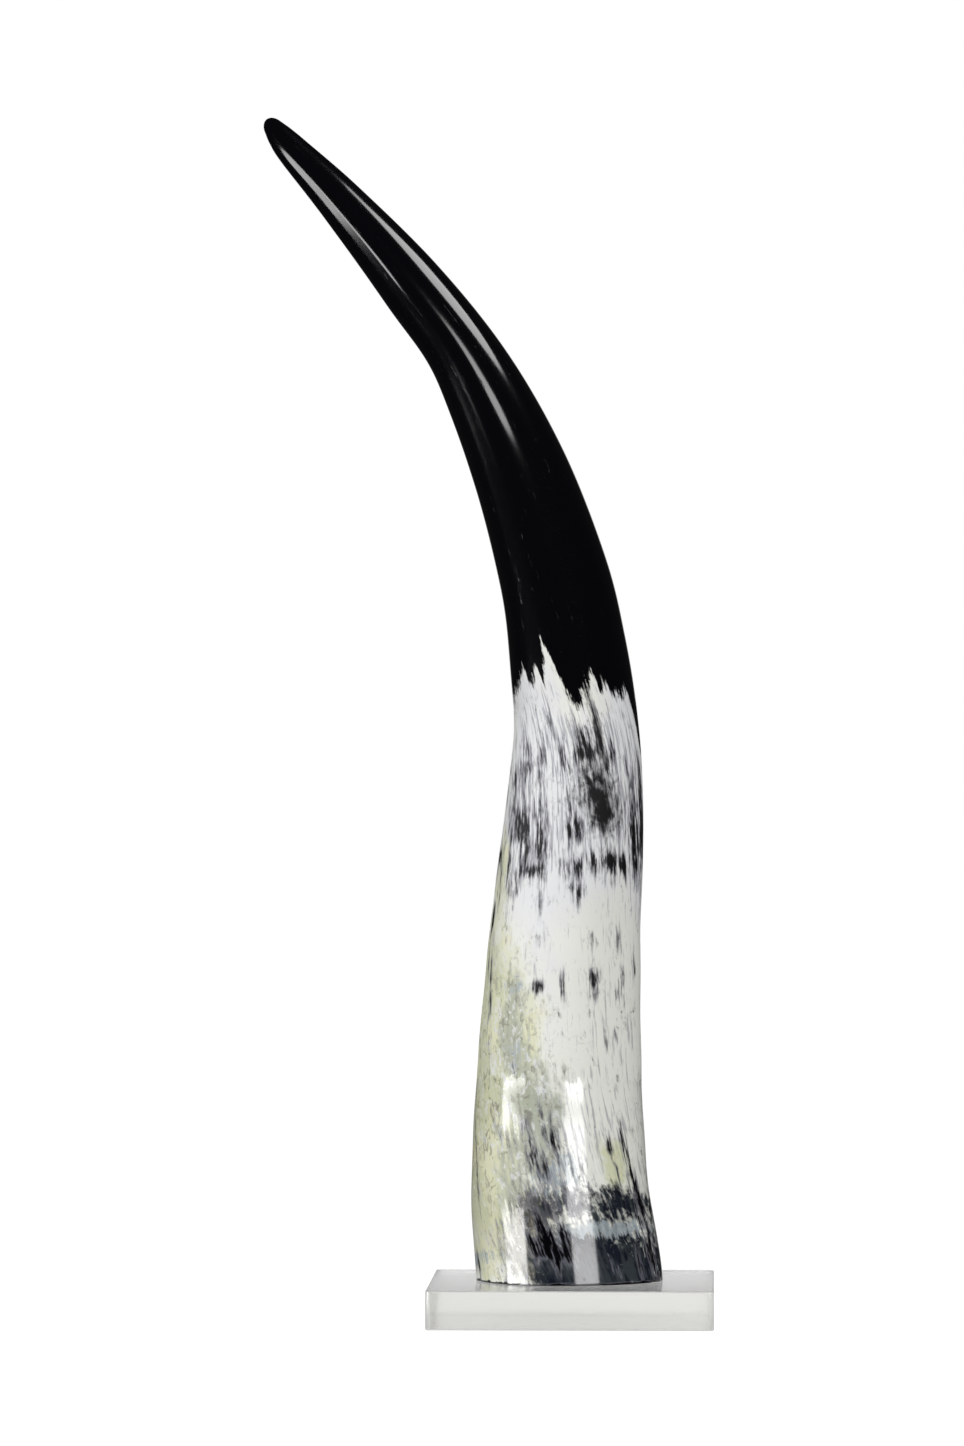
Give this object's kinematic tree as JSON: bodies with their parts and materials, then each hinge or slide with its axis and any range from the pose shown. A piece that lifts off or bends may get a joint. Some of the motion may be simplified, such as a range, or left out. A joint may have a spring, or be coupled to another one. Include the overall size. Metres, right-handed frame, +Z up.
{
  "type": "mounted cow horn",
  "caption": "Polished cow horn, black at the tip and marbled pale at the root, standing upright on a square slab of clear acrylic.",
  "frame": {"origin": "middle of the slab's underside, on the surface that the object stands on", "axes": "+Z up; -Y is the front, towards the viewer; the horn's tip sweeps towards -X and a little towards +Y"},
  "size_m": [0.1778, 0.11, 0.4707],
  "materials": {
    "polished_horn": "high polish; black from the tip to about half height, then off-white with grey and black flecks running along the horn, olive and slate marbling near the root",
    "clear_acrylic": "clear cast acrylic, polished faces and eased edges"
  },
  "bodies": {
    "root": {"horn": "polished_horn", "acrylic_base": "clear_acrylic"}
  },
  "joints": []
}
